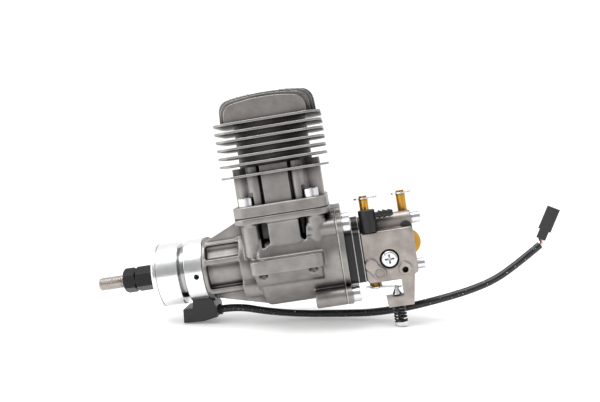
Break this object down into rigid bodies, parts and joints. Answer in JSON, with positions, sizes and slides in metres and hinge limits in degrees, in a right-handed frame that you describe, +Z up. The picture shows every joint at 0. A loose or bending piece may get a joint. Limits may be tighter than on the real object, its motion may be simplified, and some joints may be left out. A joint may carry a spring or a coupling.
{
  "type": "two-stroke model aircraft engine",
  "caption": "Small air-cooled two-stroke petrol engine with propeller hub, rear diaphragm carburettor and ignition sensor lead.",
  "frame": {"origin": "centre of the four beam-mount holes, on the crank axis under the cylinder", "axes": "+X along the crank axis towards the carburettor, with the propeller at -X; +Z up the cylinder; exhaust towards +Y"},
  "size_m": [0.2752, 0.072, 0.1452],
  "materials": {
    "cast_alloy": "bead-blasted casting, matt warm grey",
    "turned_alloy": "lathe-turned, bright",
    "carb_casting": "die-cast, matt",
    "steel": "ground and turned steel",
    "bright_screw": "bright zinc plate",
    "black_steel": "black oxide",
    "brass": "turned brass",
    "black_plastic": "moulded, matt black",
    "gasket": "black gasket",
    "gasket_paper": "light fibre gasket",
    "rubber_seal": "nitrile seal",
    "sleeve": "braided black sleeve",
    "wire": "insulated wires",
    "magnet": "nickel-plated magnet",
    "reed": "thin fibre reed"
  },
  "bodies": {
    "engine": {"crankcase": "cast_alloy", "rear_cover": "cast_alloy", "rear_cover_gasket": "gasket", "rear_cover_screws": "bright_screw", "cylinder": "cast_alloy", "cylinder_base_gasket": "gasket", "cylinder_screws": "bright_screw", "main_bearing_outer": "steel", "front_bearing_outer": "steel", "front_seal": "rubber_seal", "sensor_ring": "turned_alloy", "ring_set_screw": "black_steel", "sensor_housing": "black_plastic", "sensor_lead": "sleeve", "lead_wires": "wire", "lead_connector": "black_plastic", "reed_block": "black_plastic", "reed_petals": "reed", "intake_spacer": "black_plastic", "intake_gaskets": "gasket_paper", "carb_body": "carb_casting", "carb_bolts": "bright_screw", "pump_cover": "carb_casting", "pump_gasket": "gasket", "pump_cover_screw": "bright_screw", "metering_cover": "carb_casting", "metering_diaphragm": "gasket", "metering_screws": "bright_screw", "fuel_elbow": "black_plastic", "idle_spring": "black_steel"},
    "crank": {"crankshaft": "steel", "prop_stud": "steel", "prop_hub": "turned_alloy", "hub_magnet": "magnet", "prop_nut": "black_steel", "lock_nut": "black_steel", "main_bearing_inner": "steel", "main_bearing_balls": "bright_screw", "front_bearing_inner": "steel", "front_bearing_balls": "bright_screw"},
    "piston": {"piston": "turned_alloy", "piston_ring": "steel", "wrist_pin": "steel", "wrist_pin_clips": "steel"},
    "rod": {"connecting_rod": "steel", "small_end_bearing": "steel", "big_end_bearing": "steel", "crankpin": "steel"},
    "throttle": {"throttle_shaft": "brass", "throttle_plate": "brass", "throttle_lever": "bright_screw", "idle_lever": "bright_screw", "throttle_spring": "steel"},
    "choke": {"choke_shaft": "brass", "choke_plate": "brass", "choke_lever": "bright_screw"},
    "idle_screw": {"idle_screw": "bright_screw"},
    "low_needle": {"low_needle": "brass"},
    "high_needle": {"high_needle": "brass"}
  },
  "joints": [
    {"name": "crank_spin", "type": "hinge", "parent": "engine", "child": "crank", "pos_m": [0, 0, 0], "axis": [1, 0, 0], "continuous": true},
    {"name": "piston_slide", "type": "slide", "parent": "engine", "child": "piston", "axis": [0, 0, 1], "range_m": [0, 0.025]},
    {"name": "rod_swing", "type": "hinge", "parent": "piston", "child": "rod", "pos_m": [0, 0, 0.031], "axis": [1, 0, 0], "range_deg": [-16.5, 16.5]},
    {"name": "throttle_turn", "type": "hinge", "parent": "engine", "child": "throttle", "pos_m": [0.0472, 0, 0], "axis": [0, 0, 1], "range_deg": [0, 75], "stiffness_Nm_per_rad": 0.008, "springref_deg": -34.38},
    {"name": "choke_turn", "type": "hinge", "parent": "engine", "child": "choke", "pos_m": [0.0691, 0, 0], "axis": [0, 0, 1], "range_deg": [0, 82]},
    {"name": "idle_turn", "type": "hinge", "parent": "engine", "child": "idle_screw", "pos_m": [0.0582, -0.0116, 0], "axis": [0, 0, 1], "range_deg": [-360, 360]},
    {"name": "low_needle_turn", "type": "hinge", "parent": "engine", "child": "low_needle", "pos_m": [0.0545, 0.007, 0], "axis": [0, 0, 1], "range_deg": [-360, 360]},
    {"name": "high_needle_turn", "type": "hinge", "parent": "engine", "child": "high_needle", "pos_m": [0.0615, 0.007, 0], "axis": [0, 0, 1], "range_deg": [-360, 360]}
  ]
}
